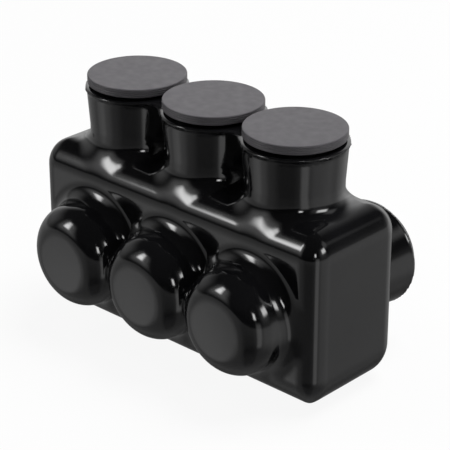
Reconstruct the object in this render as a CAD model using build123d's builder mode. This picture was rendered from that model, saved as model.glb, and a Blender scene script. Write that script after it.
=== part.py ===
"""Insulated multi-tap connector: an aluminium bar with three wire ports and three set screws inside one
dip-moulded cover, with a pull-out cap over each screw and a plug in each wire port.

Frame: the origin is at the centre of the cover's underside, +X runs along the row of taps, the closed
domes face -Y, the wires enter from +Y, and the screw chimneys point up +Z. Lengths are in millimetres.
"""
import os
from math import sqrt

from build123d import *

# Row of taps
taps = 3
tap_gap = 0.3

# Aluminium bar
bar_length = 84.8
bar_depth = 26.1
bar_height = 40.5
bar_side_r = 3.9
bar_top_r = 5.7
bar_bottom_r = 7.2
wire_axis_height = 19.0
wire_port_r = 9.4
port_chamfer = 0.6

# Set screws
screw_r = 8.73
thread_gap = 0.05
screw_length = 20.0
screw_room = 1.1
screw_head_edge = 0.9
screw_tip_edge = 1.8
socket_width = 7.94
socket_depth = 9.0
socket_lead = 0.5
socket_point = 2.0

# Cover
wall = 2.05
cover_gap = 0.05
chimney_room = 0.82
chimney_height = 14.9
chimney_foot_r = 2.5
chimney_flare = 1.35
valley_r = 3.5
sleeve_room = 0.95
sleeve_reach = 14.5
sleeve_foot_r = 1.5
sleeve_flare = 0.85
flare_length = 10.0
lip_band = 0.6
lip_edge_r = 0.5
dome_reach = 12.0
dome_shoulder_r = 7.2
dome_crown = 0.4
dome_spread = 0.8
dome_foot_r = 4.0

# Caps over the screws and plugs in the wire ports
cap_inset = 0.95
cap_lift = 0.7
cap_thickness = 2.1
plug_inset = 2.0
plug_lift = 0.3
plug_thickness = 1.7
flange_edge_r = 0.3
stem_length = 8.0
stem_wall = 1.6
stem_draft = 0.45
rib_r = 0.6
rib_rise = 0.35
rib_pitch = 1.9
rib_count = 3
seal_gap = 0.05

# Radii that follow from the sizes above
thread_r = screw_r + thread_gap
chimney_bore_r = screw_r + chimney_room
chimney_r = chimney_bore_r + wall
chimney_lip_r = chimney_r + chimney_flare
cap_r = chimney_lip_r - cap_inset
port_bore_r = wire_port_r + sleeve_room
port_r = port_bore_r + wall
sleeve_lip_r = port_r + sleeve_flare
plug_r = sleeve_lip_r - plug_inset

# Places that follow from the sizes above
pitch = 2 * max(port_r, cap_r) + tap_gap
tap_x = [(tap - (taps - 1) / 2) * pitch for tap in range(taps)]
skin = wall + cover_gap
wire_z = skin + wire_axis_height
bar_top_z = skin + bar_height
cover_top_z = bar_top_z + skin
cover_face_y = bar_depth / 2 + skin
cap_height = chimney_height + cap_lift
screw_top_z = cover_top_z + cap_height - stem_length - screw_room
screw_tip_z = screw_top_z - screw_length


def screw_side(x):
    """The plane through a tap's screw axis. Its own Y is the height above the cover."""
    return Plane(origin=(x, 0, cover_top_z), x_dir=(1, 0, 0), z_dir=(0, -1, 0))


def closed_side(x):
    """The plane through a tap's wire axis. Its own Y is the distance in front of the cover."""
    return Plane(origin=(x, -cover_face_y, wire_z), x_dir=(1, 0, 0), z_dir=(0, 0, -1))


def wire_side(x):
    """The plane through a tap's wire axis. Its own Y is the distance behind the cover."""
    return Plane(origin=(x, cover_face_y, wire_z), x_dir=(1, 0, 0), z_dir=(0, 0, 1))


def turn_axis(plane):
    """The line about which a profile on one of these planes is turned."""
    return Axis(plane.origin, plane.y_dir)


def rounded_bar(grow):
    """The bar's outline with all its edges rounded, grown by the same amount on every side."""
    with BuildPart() as form:
        with BuildSketch(Plane.XY.offset(skin - grow)):
            RectangleRounded(bar_length + 2 * grow, bar_depth + 2 * grow, bar_side_r + grow)
        extrude(amount=bar_height + 2 * grow)
        fillet(form.faces().sort_by(Axis.Z)[-1].edges(), radius=bar_top_r + grow)
        fillet(form.faces().sort_by(Axis.Z)[0].edges(), radius=bar_bottom_r + grow)
    return form.part


def closed_dome(plane):
    """A post that widens towards the cover, with a rounded shoulder and a slightly crowned end."""
    edge = dome_reach - dome_crown
    with BuildPart() as form:
        with BuildSketch(plane) as profile:
            with BuildLine():
                crown = TangentArc((0, dome_reach), (port_r, edge), tangent=(1, 0))
                Polyline(crown @ 1, (port_r + dome_spread, -wall), (0, -wall), crown @ 0)
            make_face()
            fillet(profile.vertices().sort_by_distance((port_r, edge))[0], radius=dome_shoulder_r)
        revolve(axis=turn_axis(plane))
    return form.part


def dome_hollow(plane):
    """The space inside a dome, one wall behind its end, open to the bar's wire port."""
    end = dome_reach - wall
    edge = end - dome_crown
    with BuildPart() as form:
        with BuildSketch(plane) as profile:
            with BuildLine():
                crown = TangentArc((0, end), (port_bore_r, edge), tangent=(1, 0))
                Polyline(crown @ 1, (port_bore_r, -skin), (0, -skin), crown @ 0)
            make_face()
            fillet(profile.vertices().sort_by_distance((port_bore_r, edge))[0], radius=dome_shoulder_r - wall)
        revolve(axis=turn_axis(plane))
    return form.part


def flared_mouth(plane, radius, lip_r, rim):
    """The flare at the top of a round post, which ends in a short band with a rounded lip."""
    with BuildPart() as form:
        with BuildSketch(plane):
            with BuildLine():
                flare = TangentArc((radius, rim - flare_length), (lip_r, rim - lip_band), tangent=(0, 1))
                lip = CenterArc((lip_r - lip_edge_r, rim - lip_edge_r), lip_edge_r, 0, 90)
                Line(flare @ 1, lip @ 0)
                Polyline(lip @ 1, (0, rim), (0, rim - flare_length), flare @ 0)
            make_face()
        revolve(axis=turn_axis(plane))
    return form.part


def sleeve_post(plane):
    """The straight part of a wire sleeve, with the hollow fillet at its foot."""
    with BuildPart() as form:
        with BuildSketch(plane):
            with BuildLine():
                base = CenterArc((port_r + sleeve_foot_r, sleeve_foot_r), sleeve_foot_r, 180, 90)
                Polyline(
                    base @ 1,
                    (port_r + sleeve_foot_r, -wall),
                    (0, -wall),
                    (0, sleeve_reach - flare_length),
                    (port_r, sleeve_reach - flare_length),
                    base @ 0,
                )
            make_face()
        revolve(axis=turn_axis(plane))
    return form.part


def mouth_bore(plane, bore_r, rim):
    """The straight space inside a chimney or sleeve, which rounds outwards at the lip."""
    with BuildPart() as form:
        with BuildSketch(plane):
            with BuildLine():
                lip = CenterArc((bore_r + lip_edge_r, rim - lip_edge_r), lip_edge_r, 180, -90)
                Polyline(lip @ 1, (0, rim), (0, -skin - bar_top_r), (bore_r, -skin - bar_top_r), lip @ 0)
            make_face()
        revolve(axis=turn_axis(plane))
    return form.part


def stopper(plane, flange_r, thickness, bore_r, under):
    """A flange with a hollow, tapered stem and three sealing ribs that just clear the bore."""
    stem_r = bore_r - seal_gap - rib_rise
    end = under - stem_length
    top = under + thickness
    with BuildPart() as form:
        with BuildSketch(plane) as profile:
            with BuildLine():
                Polyline(
                    (0, top),
                    (flange_r, top),
                    (flange_r, under),
                    (stem_r, under),
                    (stem_r - stem_draft, end),
                    (stem_r - stem_draft - stem_wall, end),
                    (stem_r - stem_wall, under),
                    (0, under),
                    close=True,
                )
            make_face()
            fillet(profile.vertices().filter_by_position(Axis.X, flange_r, flange_r), radius=flange_edge_r)
            with Locations((bore_r - seal_gap - rib_r, end + rib_pitch)):
                with GridLocations(0, rib_pitch, 1, rib_count, align=(Align.CENTER, Align.MIN)):
                    Circle(rib_r)
        revolve(axis=turn_axis(plane))
    return form.part


def set_screw(x):
    """A headless screw with a hexagon socket, drawn with the outside diameter of its thread."""
    with BuildPart() as form:
        with BuildSketch(Plane(origin=(x, 0, screw_tip_z))):
            Circle(screw_r)
        extrude(amount=screw_length)
        rims = form.edges().filter_by(GeomType.CIRCLE).sort_by(Axis.Z)
        chamfer(rims[-1], length=screw_head_edge)
        chamfer(rims[0], length=screw_tip_edge)
        with BuildSketch(Plane(origin=(x, 0, screw_top_z))):
            RegularPolygon(radius=socket_width / 2, side_count=6, major_radius=False)
        extrude(amount=-socket_depth, mode=Mode.SUBTRACT)
        hanging = (Align.CENTER, Align.CENTER, Align.MAX)
        lead_r = socket_width / 2 + socket_lead
        with Locations((x, 0, screw_top_z - socket_depth)):
            Cone(0, socket_width / 2, socket_point, align=hanging, mode=Mode.SUBTRACT)
        with Locations((x, 0, screw_top_z)):
            Cone(0, lead_r, lead_r, align=hanging, mode=Mode.SUBTRACT)
    return form.part


bar_outline = rounded_bar(0)
cover_outline = rounded_bar(skin)
cover_cavity = rounded_bar(cover_gap)

with BuildPart() as terminal_block:
    add(bar_outline)
    with Locations([Plane(origin=(x, 0, wire_z), z_dir=(0, 1, 0)) for x in tap_x]):
        Hole(wire_port_r)
    port_edges = terminal_block.edges().filter_by(GeomType.CIRCLE).group_by(SortBy.RADIUS)[-1]
    chamfer(port_edges, length=port_chamfer)
    with Locations([(x, 0, bar_top_z) for x in tap_x]):
        Hole(thread_r, depth=bar_height - wire_axis_height)
terminal_block.part.label = "terminal_block"

valley_y = sqrt((chimney_r + valley_r) ** 2 - (pitch / 2) ** 2)
web_depth = 2 * valley_y * chimney_r / (chimney_r + valley_r)
domes = [closed_dome(closed_side(x)) for x in tap_x]
sleeves = [sleeve_post(wire_side(x)) for x in tap_x]
mouths = [flared_mouth(wire_side(x), port_r, sleeve_lip_r, sleeve_reach) for x in tap_x]
mouths += [flared_mouth(screw_side(x), chimney_r, chimney_lip_r, chimney_height) for x in tap_x]
hollows = [dome_hollow(closed_side(x)) for x in tap_x]
hollows += [mouth_bore(wire_side(x), port_bore_r, sleeve_reach) for x in tap_x]
hollows += [mouth_bore(screw_side(x), chimney_bore_r, chimney_height) for x in tap_x]

with BuildPart() as jacket:
    add(cover_outline)
    with BuildSketch(Plane.XY.offset(wire_z)):
        with GridLocations(pitch, 0, taps, 1):
            Circle(chimney_r)
        Rectangle((taps - 1) * pitch, web_depth)
        with GridLocations(pitch, 2 * valley_y, taps - 1, 2):
            Circle(valley_r, mode=Mode.SUBTRACT)
    extrude(amount=cover_top_z + chimney_height - lip_edge_r - wire_z)
    chimney_feet = jacket.edges(Select.NEW).filter_by_position(Axis.Z, wire_z, cover_top_z + lip_edge_r)
    fillet(chimney_feet, radius=chimney_foot_r)
    add(domes)
    dome_feet = jacket.edges(Select.NEW).filter_by_position(Axis.Y, -cover_face_y - lip_edge_r, -bar_depth / 4)
    fillet(dome_feet, radius=dome_foot_r)
    add(sleeves + mouths)
    add(cover_cavity, mode=Mode.SUBTRACT)
    add(hollows, mode=Mode.SUBTRACT)
jacket.part.label = "jacket"

parts = [jacket.part, terminal_block.part]
for tap, x in enumerate(tap_x, start=1):
    screw = set_screw(x)
    screw.label = f"set_screw_{tap}"
    cap = stopper(screw_side(x), cap_r, cap_thickness, chimney_bore_r, cap_height)
    cap.label = f"screw_cap_{tap}"
    plug = stopper(wire_side(x), plug_r, plug_thickness, port_bore_r, sleeve_reach + plug_lift)
    plug.label = f"port_plug_{tap}"
    parts += [screw, cap, plug]

os.makedirs("parts", exist_ok=True)
for part in parts:
    export_step(part, f"parts/{part.label}.step")
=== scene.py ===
"""Looks of the insulated multi-tap connector: gloss cover, matt caps, metal inside, lights and camera.

Sizes of the object are in millimetres, and what is placed in the scene is in metres.
"""
import math

import bpy
import numpy as np
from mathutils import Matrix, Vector


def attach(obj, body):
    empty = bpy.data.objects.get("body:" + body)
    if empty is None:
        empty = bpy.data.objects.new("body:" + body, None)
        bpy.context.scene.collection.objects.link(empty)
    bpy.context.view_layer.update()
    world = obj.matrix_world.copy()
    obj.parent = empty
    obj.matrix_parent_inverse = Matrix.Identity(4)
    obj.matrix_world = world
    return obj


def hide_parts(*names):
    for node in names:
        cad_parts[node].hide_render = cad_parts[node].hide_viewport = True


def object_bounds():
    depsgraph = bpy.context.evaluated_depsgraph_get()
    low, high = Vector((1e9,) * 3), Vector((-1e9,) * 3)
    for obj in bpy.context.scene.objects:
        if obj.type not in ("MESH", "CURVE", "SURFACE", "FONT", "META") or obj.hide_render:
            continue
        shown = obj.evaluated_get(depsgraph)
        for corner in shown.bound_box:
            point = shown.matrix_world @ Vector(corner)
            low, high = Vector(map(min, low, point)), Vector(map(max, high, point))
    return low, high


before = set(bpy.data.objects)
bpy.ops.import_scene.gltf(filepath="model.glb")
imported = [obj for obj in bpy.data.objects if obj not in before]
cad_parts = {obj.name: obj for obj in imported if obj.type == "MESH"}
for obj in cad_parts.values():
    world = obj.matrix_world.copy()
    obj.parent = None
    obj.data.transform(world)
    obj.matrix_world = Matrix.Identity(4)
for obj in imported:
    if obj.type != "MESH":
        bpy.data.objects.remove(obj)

cad_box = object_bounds()
MM = 0.001

# Row of taps, in millimetres
TAPS = 3
PITCH = 25.1
TAP_X = [(tap - (TAPS - 1) / 2) * PITCH for tap in range(TAPS)]

# Screws, in millimetres
SCREW_R = 8.73
SCREW_LENGTH = 20.0
SCREW_ROOM = 1.1
SCREW_HEAD_EDGE = 0.9
SCREW_TIP_EDGE = 1.8
THREAD_LEAD = 1.5875
THREAD_DEPTH = 0.95
THREAD_STEEPNESS = 1.15
THREAD_CREST = 0.08
SOCKET_WIDTH = 7.94
SOCKET_DEPTH = 9.0
SOCKET_LEAD = 0.5
SOCKET_POINT = 2.0

# Cover, in millimetres
BAR_HALF_X = 42.4
BAR_HALF_Y = 13.05
BAR_HEIGHT = 40.5
SKIN = 2.1
GAP = 0.05
WALL = SKIN - GAP
SIDE_R = 5.4
TOP_R = 6.8
BOTTOM_R = 9.3
COVER_TOP_Z = BAR_HEIGHT + 2 * SKIN
COVER_FACE_Y = BAR_HALF_Y + SKIN
WIRE_Z = 21.1

# Chimneys, domes and sleeves on the cover, in millimetres
CHIMNEY_ROOM = 0.82
CHIMNEY_BORE_R = SCREW_R + CHIMNEY_ROOM
CHIMNEY_R = CHIMNEY_BORE_R + WALL
CHIMNEY_FLARE = 1.35
CHIMNEY_LIP_R = CHIMNEY_R + CHIMNEY_FLARE
CHIMNEY_HEIGHT = 14.9
CHIMNEY_FOOT_R = 3.5
VALLEY_R = 3.5
PORT_BORE_R = 10.35
PORT_R = PORT_BORE_R + WALL
DOME_REACH = 11.7
DOME_SHOULDER_R = 5.8
DOME_CROWN = 0.4
DOME_SPREAD = 0.8
DOME_FOOT_R = 4.0
DOME_VALLEY_R = 1.5
SLEEVE_FLARE = 0.85
SLEEVE_LIP_R = PORT_R + SLEEVE_FLARE
SLEEVE_REACH = 14.5
SLEEVE_FOOT_R = 1.5
SLANT = 0.07
SLANT_LENGTH = 9.4
CURL_LENGTH = 1.2
LIP_BAND = 0.5
LIP_EDGE_R = 0.5
RIM_R = 0.8

# Caps and plugs, in millimetres
CAP_INSET = 0.95
CAP_R = CHIMNEY_LIP_R - CAP_INSET
CAP_LIFT = 0.7
CAP_THICKNESS = 2.1
CAP_UNDER_Z = COVER_TOP_Z + CHIMNEY_HEIGHT + CAP_LIFT
PLUG_INSET = 2.0
PLUG_R = SLEEVE_LIP_R - PLUG_INSET
PLUG_LIFT = 0.3
PLUG_THICKNESS = 1.7
PLUG_UNDER_Y = COVER_FACE_Y + SLEEVE_REACH + PLUG_LIFT
FLANGE_EDGE_R = 0.3
GROOVE_COUNT = 3
GROOVE_DEPTH = 0.09
GROOVE_HALF = 0.12
GROOVE_EDGE_R = 0.03
STEM_LENGTH = 8.0
STEM_WALL = 1.6
STEM_DRAFT = 0.45
STEM_ROOT_R = 0.15
STEM_END_R = 0.25
STEM_CEILING_R = 0.3
RIB_COUNT = 3
RIB_PITCH = 1.9
RIB_HALF = 0.6
RIB_RISE = 0.35
RIB_ROOT_R = 0.1
RIB_CREST_R = 0.2
SEAL_GAP = 0.05
SCREW_TOP_Z = CAP_UNDER_Z - STEM_LENGTH - SCREW_ROOM

# Fineness of the meshes: grid step in millimetres, rounds of evening out, and points around a turn
GRID_STEP = 0.75
SETTLE_ROUNDS = 3
RELAX_ROUNDS = 3
CORNER_STEPS = 6
TURNED_AROUND = 144
SCREW_AROUND = 120
STEPS_PER_LEAD = 14

# Colours, as linear shares of light
COVER_BLACK = (0.003, 0.003, 0.0034)
CAP_GREY = (0.07, 0.066, 0.0725)
METAL = (0.72, 0.72, 0.73)
FLOOR_GREY = (0.8, 0.8, 0.8)

# The part of a noise's range that textures spread over their whole range
NOISE_MIDDLE = (0.3, 0.7)


def union_round(a, b, radius):
    """Both solids together, with their crease filled by a round."""
    filled = np.hypot(np.maximum(radius - a, 0), np.maximum(radius - b, 0))
    return np.maximum(radius, np.minimum(a, b)) - filled


def common_round(a, b, radius):
    """What two solids share, with its outside edge rounded."""
    rounded = np.hypot(np.maximum(radius + a, 0), np.maximum(radius + b, 0))
    return np.minimum(-radius, np.maximum(a, b)) + rounded


def row_round(solids, radius):
    """All solids of a row together, with the creases between neighbours filled by rounds."""
    whole = solids[0]
    for solid in solids[1:]:
        whole = union_round(whole, solid, radius)
    return whole


def block(x, y, z, grow):
    """Distance to the bar with all its edges rounded, grown on every side."""
    inner = SKIN - grow
    side_r = SIDE_R - inner
    past_x = np.abs(x) - (BAR_HALF_X + grow - side_r)
    past_y = np.abs(y) - (BAR_HALF_Y + grow - side_r)
    corner = np.hypot(np.maximum(past_x, 0), np.maximum(past_y, 0))
    side = corner + np.minimum(np.maximum(past_x, past_y), 0) - side_r
    middle = SKIN + BAR_HEIGHT / 2
    edge_r = np.where(z > middle, TOP_R, BOTTOM_R) - inner
    return common_round(side, np.abs(z - middle) - BAR_HEIGHT / 2 - grow, edge_r)


def flared_side(along, across, radius, lip_r, rim):
    """The side of a round post that widens a little, curls outwards near its rim and ends in a short band."""
    up = along - rim + LIP_BAND
    slant = SLANT * np.clip(up + SLANT_LENGTH, 0, SLANT_LENGTH)
    curl = lip_r - radius - SLANT * SLANT_LENGTH
    bend = (curl ** 2 + CURL_LENGTH ** 2) / (2 * curl)
    curled = np.clip(up + CURL_LENGTH, 0, CURL_LENGTH)
    steep = np.sqrt(bend ** 2 - curled ** 2)
    return (across - radius - slant - bend + steep) * steep / bend


def rounded_end(along, across, radius, reach, shoulder_r, spread=0.0):
    """A round post with a rounded shoulder and a slightly crowned end, which may widen towards its foot."""
    draft = spread / (reach - DOME_CROWN + WALL)
    side = (across - radius - draft * (reach - DOME_CROWN - along)) / math.hypot(1, draft)
    return common_round(side, along - (reach - DOME_CROWN * (across / radius) ** 2), shoulder_r)


def cover_hollow(x, y, z, from_screws, from_wires):
    """The room for the bar, and the bores and dome hollows that open into it."""
    above = z - COVER_TOP_Z
    front = -y - COVER_FACE_Y
    behind = y - COVER_FACE_Y
    hollow = block(x, y, z, GAP)
    for from_screw, from_wire in zip(from_screws, from_wires):
        dome = rounded_end(front, from_wire, PORT_BORE_R, DOME_REACH - WALL, DOME_SHOULDER_R - WALL)
        hollow = np.minimum(hollow, np.maximum(dome, -SKIN - front))
        hollow = np.minimum(hollow, np.maximum(from_wire - PORT_BORE_R, -SKIN - behind))
        hollow = np.minimum(hollow, np.maximum(from_screw - CHIMNEY_BORE_R, -SKIN - above))
    return hollow


def cover(points):
    """About the distance from each point to the cover's surface, negative inside the material."""
    x, y, z = points[..., 0], points[..., 1], points[..., 2]
    above = z - COVER_TOP_Z
    front = -y - COVER_FACE_Y
    behind = y - COVER_FACE_Y
    from_screws = [np.hypot(x - tap_x, y) for tap_x in TAP_X]
    from_wires = [np.hypot(x - tap_x, z - WIRE_Z) for tap_x in TAP_X]
    chimneys = [flared_side(above, r, CHIMNEY_R, CHIMNEY_LIP_R, CHIMNEY_HEIGHT) for r in from_screws]
    domes = [rounded_end(front, r, PORT_R, DOME_REACH, DOME_SHOULDER_R, DOME_SPREAD) for r in from_wires]
    sleeves = [flared_side(behind, r, PORT_R, SLEEVE_LIP_R, SLEEVE_REACH) for r in from_wires]
    chimneys = common_round(row_round(chimneys, VALLEY_R), above - CHIMNEY_HEIGHT, RIM_R)
    domes = row_round(domes, DOME_VALLEY_R)
    sleeves = common_round(row_round(sleeves, SLEEVE_FOOT_R), behind - SLEEVE_REACH, RIM_R)
    outside = union_round(block(x, y, z, SKIN), np.maximum(chimneys, WIRE_Z - z), CHIMNEY_FOOT_R)
    outside = union_round(outside, np.maximum(domes, -WALL - front), DOME_FOOT_R)
    outside = union_round(outside, np.maximum(sleeves, -WALL - behind), SLEEVE_FOOT_R)
    return common_round(outside, -cover_hollow(x, y, z, from_screws, from_wires), LIP_EDGE_R)


def slope(field, points, reach=0.01):
    """The gradient of a field at each point."""
    steps = np.eye(3) * reach
    return np.stack([(field(points + s) - field(points - s)) / (2 * reach) for s in steps], axis=-1)


def cell_points(grid, value):
    """One point in each grid cell that the zero surface crosses, and the number of each cell's point."""
    inside = value < 0
    cells = tuple(n - 1 for n in value.shape)
    crossings = np.zeros(cells)
    places = np.zeros(cells + (3,))
    for start in [(i, j, k) for i in (0, 1) for j in (0, 1) for k in (0, 1)]:
        for axis in range(3):
            if start[axis]:
                continue
            stop = tuple(s + (a == axis) for a, s in enumerate(start))
            first = tuple(slice(s, s + n) for s, n in zip(start, cells))
            last = tuple(slice(s, s + n) for s, n in zip(stop, cells))
            crossed = inside[first] != inside[last]
            change = np.where(crossed, value[first] - value[last], 1)
            share = np.where(crossed, value[first] / change, 0)[..., None]
            place = grid[first] * (1 - share) + grid[last] * share
            crossings += crossed
            places += place * crossed[..., None]
    used = crossings > 0
    index = np.full(cells, -1)
    index[used] = np.arange(used.sum())
    return places[used] / crossings[used][:, None], index


def cell_faces(inside, index):
    """Four-sided faces that face outwards, one around each grid edge that the zero surface crosses."""
    faces = []
    for axis in range(3):
        u, v = (axis + 1) % 3, (axis + 2) % 3
        first = [slice(1, n - 1) for n in inside.shape]
        first[axis] = slice(0, inside.shape[axis] - 1)
        last = list(first)
        last[axis] = slice(1, inside.shape[axis])
        a, b = inside[tuple(first)], inside[tuple(last)]
        crossed = np.argwhere(a != b) + np.array([s.start for s in first])
        ring = []
        for du, dv in ((-1, -1), (0, -1), (0, 0), (-1, 0)):
            cell = crossed.copy()
            cell[:, u] += du
            cell[:, v] += dv
            ring.append(index[tuple(cell.T)])
        quads = np.stack(ring, axis=1)
        outward = a[a != b]
        faces.append(np.where(outward[:, None], quads, quads[:, ::-1]))
    return np.concatenate(faces)


def surface_of(field, low, high, step):
    """Points and four-sided faces of a field's zero surface within a box."""
    counts = [int((b - a) / step) + 2 for a, b in zip(low, high)]
    lines = [a + step * np.arange(n) for a, n in zip(low, counts)]
    grid = np.stack(np.meshgrid(*lines, indexing="ij"), axis=-1)
    value = field(grid)
    points, index = cell_points(grid, value)
    return points, cell_faces(value < 0, index)


def settle(field, points, rounds):
    """Moves points onto a field's zero surface."""
    for _ in range(rounds):
        steep = slope(field, points)
        points = points - (field(points) / (steep ** 2).sum(-1))[:, None] * steep
    return points


def relax(field, points, faces, rounds):
    """Evens the points out over the surface, each towards the middle of its neighbours."""
    pairs = np.concatenate([faces[:, [k, (k + 1) % 4]] for k in range(4)])
    here, beside = np.concatenate([pairs, pairs[:, ::-1]]).T
    near = np.bincount(here, minlength=len(points))[:, None]
    for _ in range(rounds):
        sums = [np.bincount(here, points[beside, axis], len(points)) for axis in range(3)]
        points = settle(field, (points + np.stack(sums, axis=1) / near) / 2, 1)
    return points


def mesh_object(name, points, faces, normals=None):
    """A smooth-shaded object from points in metres."""
    mesh = bpy.data.meshes.new(name)
    mesh.from_pydata(points.tolist(), [], [list(f) for f in faces])
    mesh.polygons.foreach_set("use_smooth", [True] * len(mesh.polygons))
    if normals is not None:
        mesh.normals_split_custom_set_from_vertices(normals.tolist())
    mesh.update()
    thing = bpy.data.objects.new(name, mesh)
    bpy.context.scene.collection.objects.link(thing)
    return thing


def cover_skin():
    """The one-piece moulded cover, fine enough for clean reflections."""
    low, high = [np.array(c) / MM for c in cad_box]
    points, faces = surface_of(cover, low - GRID_STEP, high + GRID_STEP, GRID_STEP)
    points = relax(cover, settle(cover, points, SETTLE_ROUNDS), faces, RELAX_ROUNDS)
    points = settle(cover, points, SETTLE_ROUNDS)
    normals = slope(cover, points)
    normals /= np.linalg.norm(normals, axis=1)[:, None]
    return mesh_object("cover_skin", points * MM, faces, normals)


def rings_object(name, rings, normals=None):
    """A closed surface from equally long rings of points that starts and ends on the axis."""
    around = len(rings[0])
    points = np.concatenate([rings[0].mean(0)[None], *rings, rings[-1].mean(0)[None]])
    faces = []
    last = 1 + (len(rings) - 1) * around
    for turn in range(around):
        after = (turn + 1) % around
        faces.append((0, 1 + turn, 1 + after))
        for start in range(1, last, around):
            faces.append((start + turn, start + around + turn, start + around + after, start + after))
        faces.append((last + turn, len(points) - 1, last + after))
    return mesh_object(name, points, faces, normals)


def rounded_path(corners):
    """Points and outward directions along a path. A corner is a radius, a height and its round's radius."""
    places = np.array([c[:2] for c in corners], float)
    points, outward = [], []
    for k, corner in enumerate(corners):
        if k in (0, len(corners) - 1):
            step = places[k + 1] - places[k] if k == 0 else places[k] - places[k - 1]
            points.append(places[k])
            outward.append(np.array([-step[1], step[0]]) / np.linalg.norm(step))
            continue
        before, after = places[k - 1] - places[k], places[k + 1] - places[k]
        before, after = before / np.linalg.norm(before), after / np.linalg.norm(after)
        middle = (before + after) / np.linalg.norm(before + after)
        half = math.acos(np.clip(before @ after, -1, 1)) / 2
        centre = places[k] + middle * corner[2] / math.sin(half)
        turns = math.radians(90) - half
        side = np.sign(before[0] * after[1] - before[1] * after[0])
        for angle in np.linspace(-turns, turns, CORNER_STEPS):
            cos, sin = math.cos(side * angle), math.sin(side * angle)
            ray = np.array([-middle[0] * cos - middle[1] * sin, middle[0] * sin - middle[1] * cos])
            points.append(centre + ray * corner[2])
            outward.append(ray * side)
    return points, outward


def turned(name, corners, origin, along):
    """A turned piece from a path that runs from the middle of its top to the middle of its underside."""
    points, outward = rounded_path(corners)
    along = np.array(along, float)
    across = np.array([1.0, 0.0, 0.0])
    third = np.cross(along, across)
    angles = np.arange(TURNED_AROUND) * 2 * np.pi / TURNED_AROUND
    spokes = np.cos(angles)[:, None] * across + np.sin(angles)[:, None] * third
    rings, normals = [], [along]
    for (radius, height), (out, up) in zip(points, outward):
        rings.append((np.array(origin) + radius * spokes + height * along) * MM)
        normals += list(out * spokes + up * along)
    normals.append(-along)
    return rings_object(name, rings, np.array(normals))


def stopper(name, flange_r, thickness, bore_r, origin, along):
    """A cap or plug: a flange with fine grooves around its edge, and a hollow stem with sealing ribs."""
    corners = [(flange_r / 2, thickness), (flange_r, thickness, FLANGE_EDGE_R)]
    band = thickness / (GROOVE_COUNT + 1)
    for groove in range(GROOVE_COUNT):
        height = thickness - band * (groove + 1)
        corners += [
            (flange_r, height + GROOVE_HALF, GROOVE_EDGE_R),
            (flange_r - GROOVE_DEPTH, height, GROOVE_EDGE_R),
            (flange_r, height - GROOVE_HALF, GROOVE_EDGE_R),
        ]
    seal_r = bore_r - SEAL_GAP
    stem_r = seal_r - RIB_RISE
    corners += [(flange_r, 0, FLANGE_EDGE_R), (stem_r, 0, STEM_ROOT_R)]
    for rib in reversed(range(RIB_COUNT)):
        height = RIB_PITCH * (rib + 1) - STEM_LENGTH
        side = stem_r + STEM_DRAFT / STEM_LENGTH * height
        corners += [
            (side, height + RIB_HALF, RIB_ROOT_R),
            (seal_r, height + RIB_HALF / 2, RIB_CREST_R),
            (seal_r, height - RIB_HALF / 2, RIB_CREST_R),
            (side, height - RIB_HALF, RIB_ROOT_R),
        ]
    corners += [
        (stem_r - STEM_DRAFT, -STEM_LENGTH, STEM_END_R),
        (stem_r - STEM_DRAFT - STEM_WALL, -STEM_LENGTH, STEM_END_R),
        (stem_r - STEM_WALL, 0, STEM_CEILING_R),
        ((stem_r - STEM_WALL) / 2, 0),
    ]
    return turned(name, corners, origin, along)


def screw_body(name, x):
    """A set screw with its helical thread and a hexagon socket."""
    angles = np.arange(SCREW_AROUND) * 2 * np.pi / SCREW_AROUND
    tip = SCREW_TOP_Z - SCREW_LENGTH
    deep = SCREW_TOP_Z - SOCKET_DEPTH
    socket_r = SOCKET_WIDTH / 2
    hexagon = socket_r / np.cos(angles % (np.pi / 3) - np.pi / 6)
    lead_r = np.maximum(hexagon, socket_r + SOCKET_LEAD)

    def ring(radius, height):
        """Points around the screw's axis, from one radius or one for each point."""
        radius = radius * np.ones(SCREW_AROUND)
        level = np.full(SCREW_AROUND, height)
        return np.stack([x + radius * np.cos(angles), radius * np.sin(angles), level], axis=1) * MM

    rings = [ring(SCREW_R / 3, tip)]
    for height in np.arange(0, SCREW_LENGTH, THREAD_LEAD / STEPS_PER_LEAD):
        share = (height / THREAD_LEAD - angles / (2 * np.pi)) % 1
        depth = np.clip(THREAD_STEEPNESS * (1 - 2 * np.abs(share - 0.5)) - THREAD_CREST, 0, 1)
        thread_r = SCREW_R - THREAD_DEPTH * depth
        edge = min(SCREW_R - SCREW_TIP_EDGE + height, SCREW_R - SCREW_HEAD_EDGE + SCREW_LENGTH - height)
        rings.append(ring(np.minimum(thread_r, edge), tip + height))
    rings += [
        ring(SCREW_R - SCREW_HEAD_EDGE, SCREW_TOP_Z),
        ring(lead_r, SCREW_TOP_Z),
        ring(hexagon, SCREW_TOP_Z - (lead_r - hexagon).max()),
        ring(hexagon, deep),
        ring(socket_r, deep),
        ring(socket_r / 20, deep - SOCKET_POINT),
    ]
    return rings_object(name, rings[::-1])


def fill(tree, node, inputs):
    """Gives each named input of a shader node a number, or a link from a socket."""
    for name, value in inputs.items():
        if isinstance(value, bpy.types.NodeSocket):
            tree.links.new(value, node.inputs[name])
        else:
            node.inputs[name].default_value = value


def calculated(tree, operation, *values):
    """The result of one arithmetic operation on numbers and sockets."""
    node = tree.nodes.new("ShaderNodeMath")
    node.operation = operation
    fill(tree, node, dict(enumerate(values)))
    return node.outputs[0]


def ranged(tree, share, start, stop, low, high, smooth=False):
    """A number that goes from low to high as a share goes from start to stop."""
    node = tree.nodes.new("ShaderNodeMapRange")
    if smooth:
        node.interpolation_type = "SMOOTHSTEP"
    fill(tree, node, {"Value": share, "From Min": start, "From Max": stop, "To Min": low, "To Max": high})
    return node.outputs["Result"]


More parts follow.
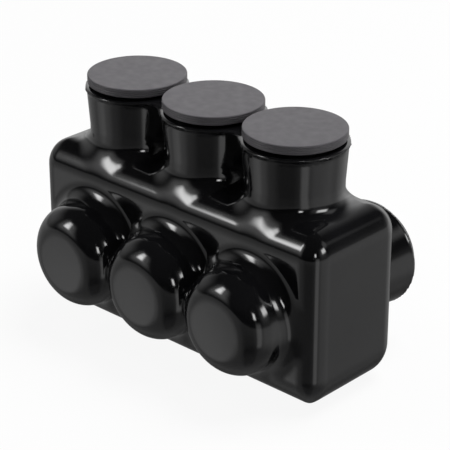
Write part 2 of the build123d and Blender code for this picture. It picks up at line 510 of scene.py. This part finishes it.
def mixed(tree, share, low, high, kind="FLOAT"):
    """A number or colour that goes from low to high with a share."""
    node = tree.nodes.new("ShaderNodeMix")
    node.data_type = kind
    fill(tree, node, {"Factor": share, "A": low, "B": high})
    return node.outputs["Result"]


def scaled(colour, factor):
    """A lighter or darker colour."""
    return tuple(factor * c for c in colour)


class Finish:
    """A material with one shader, and short ways to add texture to it."""

    def __init__(self, name, colour, roughness, metallic=0.0):
        self.material = bpy.data.materials.new(name)
        self.material.use_nodes = True
        self.tree = self.material.node_tree
        self.shader = self.tree.nodes["Principled BSDF"]
        self.shader.inputs["Base Color"].default_value = (*colour, 1)
        self.shader.inputs["Roughness"].default_value = roughness
        self.shader.inputs["Metallic"].default_value = metallic
        self.place = self.tree.nodes.new("ShaderNodeTexCoord").outputs["Object"]

    def noise(self, scale, detail, stretch=(1, 1, 1)):
        """Noise over the surface, with its scale counted per metre."""
        mapping = self.tree.nodes.new("ShaderNodeMapping")
        fill(self.tree, mapping, {"Vector": self.place, "Scale": stretch})
        texture = self.tree.nodes.new("ShaderNodeTexNoise")
        fill(self.tree, texture, {"Vector": mapping.outputs["Vector"], "Scale": scale, "Detail": detail})
        return texture.outputs["Fac"]

    def spread(self, share, low=0, high=1):
        """Widens the middle of a noise to the whole way from low to high."""
        return ranged(self.tree, share, *NOISE_MIDDLE, low, high)

    def colours(self, share, low, high):
        """Lets the colour go from low to high with a share."""
        colour = mixed(self.tree, share, (*low, 1), (*high, 1), kind="RGBA")
        self.tree.links.new(colour, self.shader.inputs["Base Color"])

    def rough(self, share):
        """Lets the roughness follow a share."""
        self.tree.links.new(share, self.shader.inputs["Roughness"])

    def bump(self, share, height, strength):
        """Relief from a share, of a height in millimetres."""
        node = self.tree.nodes.new("ShaderNodeBump")
        fill(self.tree, node, {"Height": share, "Distance": height * MM, "Strength": strength})
        self.tree.links.new(node.outputs["Normal"], self.shader.inputs["Normal"])


def cover_finish():
    """Gloss black plastisol with a faint unevenness."""
    finish = Finish("cover_plastisol", COVER_BLACK, roughness=0.08)
    finish.rough(finish.spread(finish.noise(scale=400, detail=4), 0.06, 0.12))
    finish.colours(finish.spread(finish.noise(scale=60, detail=2)), COVER_BLACK, scaled(COVER_BLACK, 2))
    finish.bump(finish.noise(scale=180, detail=1), height=0.02, strength=0.25)
    return finish.material


def cap_finish():
    """Matt dark grey moulding, slightly mottled."""
    finish = Finish("cap_rubber", CAP_GREY, roughness=0.5)
    clouds = finish.spread(finish.noise(scale=60, detail=2, stretch=(1, 0.5, 1)))
    finish.colours(clouds, scaled(CAP_GREY, 0.97), scaled(CAP_GREY, 1.03))
    finish.rough(finish.spread(finish.noise(scale=500, detail=3), 0.46, 0.56))
    finish.bump(finish.noise(scale=2500, detail=3), height=0.02, strength=0.4)
    return finish.material


def metal_finish(name, stretch, roughness):
    """Tin-plated aluminium with the marks of its making along one direction."""
    finish = Finish(name, METAL, roughness, metallic=0.85)
    streaks = finish.noise(scale=300, detail=4, stretch=stretch)
    finish.colours(finish.spread(streaks), scaled(METAL, 0.8), METAL)
    finish.rough(finish.spread(streaks, roughness - 0.08, roughness + 0.12))
    finish.bump(streaks, height=0.02, strength=0.3)
    return finish.material


def dress(thing, material):
    """Puts one material on a whole object."""
    thing.data.materials.clear()
    thing.data.materials.append(material)


cover_material = cover_finish()
cap_material = cap_finish()
bar_material = metal_finish("bar_aluminium", stretch=(0.1, 4, 4), roughness=0.34)
screw_material = metal_finish("screw_aluminium", stretch=(1, 1, 6), roughness=0.3)

skin = cover_skin()
dress(skin, cover_material)
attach(skin, "connector")
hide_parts("jacket")

dress(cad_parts["terminal_block"], bar_material)
for tap, x in enumerate(TAP_X, start=1):
    screw = screw_body(f"threaded_screw_{tap}", x)
    cap = stopper(f"cap_{tap}", CAP_R, CAP_THICKNESS, CHIMNEY_BORE_R, (x, 0, CAP_UNDER_Z), (0, 0, 1))
    plug = stopper(f"plug_{tap}", PLUG_R, PLUG_THICKNESS, PORT_BORE_R, (x, PLUG_UNDER_Y, WIRE_Z), (0, 1, 0))
    for node, thing, material, slot in (
        (f"set_screw_{tap}", screw, screw_material, "screw_aluminium"),
        (f"screw_cap_{tap}", cap, cap_material, "cap_rubber"),
        (f"port_plug_{tap}", plug, cap_material, "cap_rubber"),
    ):
        dress(thing, material)
        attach(thing, node)
        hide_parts(node)

# Camera: the photograph's view, in degrees, millimetres and pixels of the photograph
VIEW_AZIMUTH = 43.005
VIEW_ELEVATION = 25.135
VIEW_DISTANCE = 442.63
VIEW_FOCAL_PX = 1855.132
FRAME_PX = 450
SENSOR_WIDTH = 36
CLIP_START = 10
AIM_HEIGHT = 30
AIM_RIGHT = 2.664
AIM_UP = 0.007

# Floor, with its side in metres and the share of its own light that the camera sees
FLOOR_SIDE = 12.0
FLOOR_LIFT = 0.92

# Surroundings, as strengths of light. The table's reach and the horizon are heights of a unit vector
ROOM_LIGHT = 0.1
ROOM_DARK = 0.03
ROOM_LEAST = 0.015
TABLE_FAR = 0.42
TABLE_NEAR = 0.24
TABLE_REACH = (-0.8, 0)
HORIZON = (-0.04, 0.04)

# Soft boxes and shades as mirrors show them: azimuth and elevation of the middle, half the width, half the
# height and the width of the soft border, all in degrees, and brightness, which is negative for a shade
BOXES = (
    (-38, 28, 2.5, 2.5, 7, 13.0),
    (-38, 39, 2, 2, 7, 10.0),
    (-36, 28, 7, 8, 18, 1.2),
    (55, 22, 2, 4, 4, 12.0),
    (105, 28, 8, 3, 8, 10.0),
    (98, 24, 6, 2, 21, 0.6),
    (131, 38, 7, 3, 12, 0.8),
    (-149, 20, 19, 5, 28, 1.4),
    (-150, 60, 7, 2, 8, 1.5),
    (-92, 16, 14, 2, 26, 0.45),
    (24, -18, 12, 14, 26, -0.17),
    (30, -56, 22, 12, 16, -0.12),
    (-145, -48, 38, 6, 30, -0.16),
    (106, -17, 16, 6, 28, 0.45),
    (64, -14, 4, 18, 9, 0.9),
    (-38, -26, 6, 5, 18, 0.3),
    (-52, -32, 6, 3, 12, 0.3),
    (168, -4, 5, 2, 34, 0.75),
)


def direction(azimuth, elevation):
    """A unit vector towards an azimuth and elevation in degrees, with azimuth 0 in front of the domes."""
    a, e = math.radians(azimuth), math.radians(elevation)
    return Vector((math.sin(a) * math.cos(e), -math.cos(a) * math.cos(e), math.sin(e)))


def add_camera():
    """The camera stands on the line of sight through a point near the object's middle."""
    azimuth = math.radians(VIEW_AZIMUTH)
    back = direction(VIEW_AZIMUTH, VIEW_ELEVATION)
    right = Vector((math.cos(azimuth), math.sin(azimuth), 0))
    up = back.cross(right)
    aim = Vector((0, 0, AIM_HEIGHT)) + AIM_RIGHT * right + AIM_UP * up
    camera = bpy.data.objects.new("camera", bpy.data.cameras.new("camera"))
    camera.location = (aim + VIEW_DISTANCE * back) * MM
    camera.rotation_euler = (-back).to_track_quat("-Z", "Y").to_euler()
    camera.data.sensor_width = SENSOR_WIDTH
    camera.data.lens = VIEW_FOCAL_PX / FRAME_PX * SENSOR_WIDTH
    camera.data.clip_start = CLIP_START * MM
    bpy.context.scene.collection.objects.link(camera)
    bpy.context.scene.camera = camera


def soft_light(name, azimuth, elevation, distance, width, height, power):
    """A lamp with a soft area that faces the object, with lengths in metres. Mirrors don't show it."""
    towards = direction(azimuth, elevation)
    lamp = bpy.data.lights.new(name, "AREA")
    lamp.shape = "RECTANGLE"
    lamp.size = width
    lamp.size_y = height
    lamp.energy = power
    thing = bpy.data.objects.new(name, lamp)
    thing.location = Vector((0, 0, AIM_HEIGHT * MM)) + distance * towards
    thing.rotation_euler = (-towards).to_track_quat("-Z", "Y").to_euler()
    thing.visible_glossy = False
    bpy.context.scene.collection.objects.link(thing)


def add_floor():
    """A plain white floor, seen almost evenly lit with its shadow. Mirrors see the room instead."""
    half = FLOOR_SIDE / 2
    points = np.array([(-half, -half, 0), (half, -half, 0), (half, half, 0), (-half, half, 0)])
    floor = mesh_object("floor", points, [(0, 1, 2, 3)])
    finish = Finish("floor", FLOOR_GREY, roughness=0.9)
    finish.shader.inputs["Specular IOR Level"].default_value = 0
    tree = finish.tree
    path = tree.nodes.new("ShaderNodeLightPath").outputs
    glow = tree.nodes.new("ShaderNodeEmission").outputs["Emission"]
    clear = tree.nodes.new("ShaderNodeBsdfTransparent").outputs["BSDF"]
    lift = calculated(tree, "MULTIPLY", path["Is Camera Ray"], FLOOR_LIFT)
    lit = tree.nodes.new("ShaderNodeMixShader")
    fill(tree, lit, {"Fac": lift, 1: finish.shader.outputs["BSDF"], 2: glow})
    shown = tree.nodes.new("ShaderNodeMixShader")
    fill(tree, shown, {"Fac": path["Is Glossy Ray"], 1: lit.outputs["Shader"], 2: clear})
    tree.links.new(shown.outputs["Shader"], tree.nodes["Material Output"].inputs["Surface"])
    dress(floor, finish.material)


def mirrored_room(tree):
    """Brightness of the surroundings in mirrors: a dark room with a pale table, soft boxes and shades."""
    parts = tree.nodes.new("ShaderNodeSeparateXYZ")
    fill(tree, parts, {"Vector": tree.nodes.new("ShaderNodeTexCoord").outputs["Generated"]})
    x, y, z = parts.outputs

    def inside(angle, middle, half, border):
        """One within a range of angles, and falling to nothing over its soft border, both ways around."""
        apart = calculated(tree, "SUBTRACT", angle, math.radians(middle))
        apart = calculated(tree, "ABSOLUTE", calculated(tree, "WRAP", apart, math.pi, -math.pi))
        return ranged(tree, apart, math.radians(half + border), math.radians(half), 0, 1, smooth=True)

    azimuth = calculated(tree, "ARCTAN2", x, calculated(tree, "MULTIPLY", y, -1))
    elevation = calculated(tree, "ARCSINE", z)
    table = ranged(tree, z, *TABLE_REACH, TABLE_NEAR, TABLE_FAR)
    below = ranged(tree, z, *HORIZON, 1, 0)
    seen = calculated(tree, "ADD", calculated(tree, "MULTIPLY", table, below), ROOM_DARK)
    for middle, height, half_width, half_height, border, strength in BOXES:
        across = inside(azimuth, middle, half_width, border)
        upwards = inside(elevation, height, half_height, border)
        box = calculated(tree, "MULTIPLY", calculated(tree, "MULTIPLY", across, upwards), strength)
        seen = calculated(tree, "ADD", seen, box)
    return calculated(tree, "MAXIMUM", seen, ROOM_LEAST)


def add_room():
    """White for the camera, even for diffuse light, and the mirrored room for glossy light."""
    world = bpy.data.worlds.new("room")
    bpy.context.scene.world = world
    world.use_nodes = True
    tree = world.node_tree
    path = tree.nodes.new("ShaderNodeLightPath").outputs
    light = mixed(tree, path["Is Glossy Ray"], ROOM_LIGHT, mirrored_room(tree))
    strength = mixed(tree, path["Is Camera Ray"], light, 1.0)
    fill(tree, tree.nodes["Background"], {"Color": (1, 1, 1, 1), "Strength": strength})


add_camera()
add_floor()
add_room()
soft_light("above", azimuth=150, elevation=68, distance=0.9, width=0.5, height=0.5, power=8.6)
soft_light("left", azimuth=-60, elevation=50, distance=0.9, width=0.4, height=0.3, power=1.3)
bpy.context.scene.view_settings.view_transform = "Standard"
